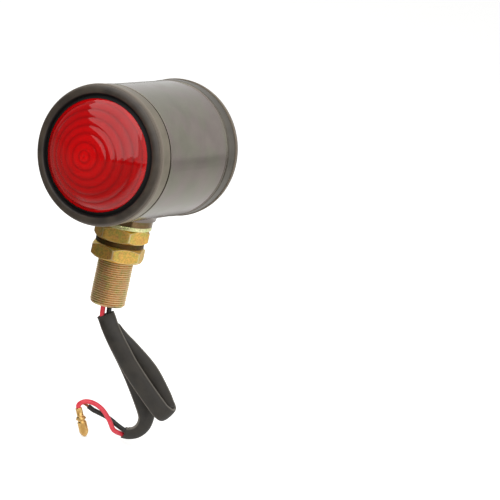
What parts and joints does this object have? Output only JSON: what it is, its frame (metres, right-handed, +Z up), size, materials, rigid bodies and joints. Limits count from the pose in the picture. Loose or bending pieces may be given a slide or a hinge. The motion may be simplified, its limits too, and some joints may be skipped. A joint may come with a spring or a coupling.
{
  "type": "double-faced marker spotlight",
  "caption": "Round marker spotlight with a red and a clear domed lens in rubber rims on a plated barrel, held up by a hollow threaded stem with nuts and a sleeved lead.",
  "frame": {"origin": "on the stem's axis, level with the lower face of the lower nut, where the free thread starts", "axes": "+Z up the stem to the head; the red lens faces -Y, the clear lens faces +Y; +X to the right when facing the red lens"},
  "size_m": [0.0657, 0.097, 0.1639],
  "materials": {
    "nickel_plate": "polished, dark nickel tone",
    "rubber": "satin",
    "red_lens": "polished, ribbed behind",
    "clear_lens": "polished, ribbed behind",
    "yellow_zinc": "yellow passivated",
    "pale_zinc": "pale passivated",
    "steel": "bare strip and wire",
    "brass": "drawn",
    "fibre": "pressed board",
    "bulb_glass": "clear",
    "black_plastic": "moulded",
    "sleeve_plastic": "soft, satin",
    "red_wire": "soft, satin",
    "black_wire": "soft, satin",
    "copper": "bare strands"
  },
  "bodies": {
    "stem": {"stem": "yellow_zinc", "stem_bush": "black_plastic", "inner_nut": "yellow_zinc", "bulb_bracket": "steel", "holder_shell": "brass", "holder_base": "fibre", "holder_rivets": "steel", "contact_spring": "steel", "feed_wire": "red_wire", "earth_wire": "black_wire", "earth_tag": "brass", "earth_screw": "steel", "earth_nut": "steel", "red_lead": "red_wire", "black_lead": "black_wire", "sleeve": "sleeve_plastic", "red_tail": "red_wire", "black_tail": "black_wire", "bullet_terminal": "brass", "bare_strands": "copper"},
    "head": {"barrel": "nickel_plate", "red_bezel": "nickel_plate", "clear_bezel": "nickel_plate", "saddle_collar": "yellow_zinc", "inner_saddle": "steel"},
    "red_front": {"red_rim": "rubber", "red_lens": "red_lens"},
    "clear_front": {"clear_rim": "rubber", "clear_lens": "clear_lens"},
    "flat_washer": {"flat_washer": "pale_zinc"},
    "upper_nut": {"upper_nut": "yellow_zinc"},
    "lock_washer": {"lock_washer": "yellow_zinc"},
    "lower_nut": {"lower_nut": "yellow_zinc"},
    "contact_plunger": {"contact_disc": "fibre", "contact_stud": "brass"},
    "bulb": {"bulb_cap": "brass", "bulb_pins": "brass", "bulb_insulator": "black_plastic", "bulb_contact": "steel", "bulb_glass": "bulb_glass", "bulb_mount": "bulb_glass", "bulb_filament": "steel"}
  },
  "joints": [
    {"name": "lamp_aim", "type": "hinge", "parent": "stem", "child": "head", "pos_m": [0, 0, 0.04905], "axis": [0, 0, 1], "range_deg": [-90, 90]},
    {"name": "red_front_pull", "type": "slide", "parent": "head", "child": "red_front", "axis": [0, -1, 0], "range_m": [0, 0.03]},
    {"name": "clear_front_pull", "type": "slide", "parent": "head", "child": "clear_front", "axis": [0, 1, 0], "range_m": [0, 0.03]},
    {"name": "flat_washer_drop", "type": "slide", "parent": "stem", "child": "flat_washer", "axis": [0, 0, -1], "range_m": [0, 0.005]},
    {"name": "upper_nut_turn", "type": "hinge", "parent": "flat_washer", "child": "upper_nut", "pos_m": [0, 0, 0.012], "axis": [0, 0, -1], "range_deg": [0, 1800]},
    {"name": "lock_washer_drop", "type": "slide", "parent": "flat_washer", "child": "lock_washer", "axis": [0, 0, -1], "range_m": [0, 0.012]},
    {"name": "lower_nut_turn", "type": "hinge", "parent": "lock_washer", "child": "lower_nut", "pos_m": [0, 0, 0.0034], "axis": [0, 0, -1], "range_deg": [0, 4320]},
    {"name": "bulb_press", "type": "slide", "parent": "stem", "child": "contact_plunger", "axis": [0, 0, -1], "range_m": [0, 0.0013], "stiffness_N_per_m": 2000, "springref_m": -0.003, "deforming": ["contact_spring", "feed_wire"]},
    {"name": "bulb_twist", "type": "hinge", "parent": "contact_plunger", "child": "bulb", "pos_m": [0, 0, 0.0474], "axis": [0, 0, 1], "range_deg": [0, 16]}
  ],
  "couplings": [
    {"joint": "upper_nut_turn", "follows": "flat_washer_drop", "rad_per_m": 6283.2},
    {"joint": "lower_nut_turn", "follows": "lock_washer_drop", "rad_per_m": 6283.2}
  ]
}
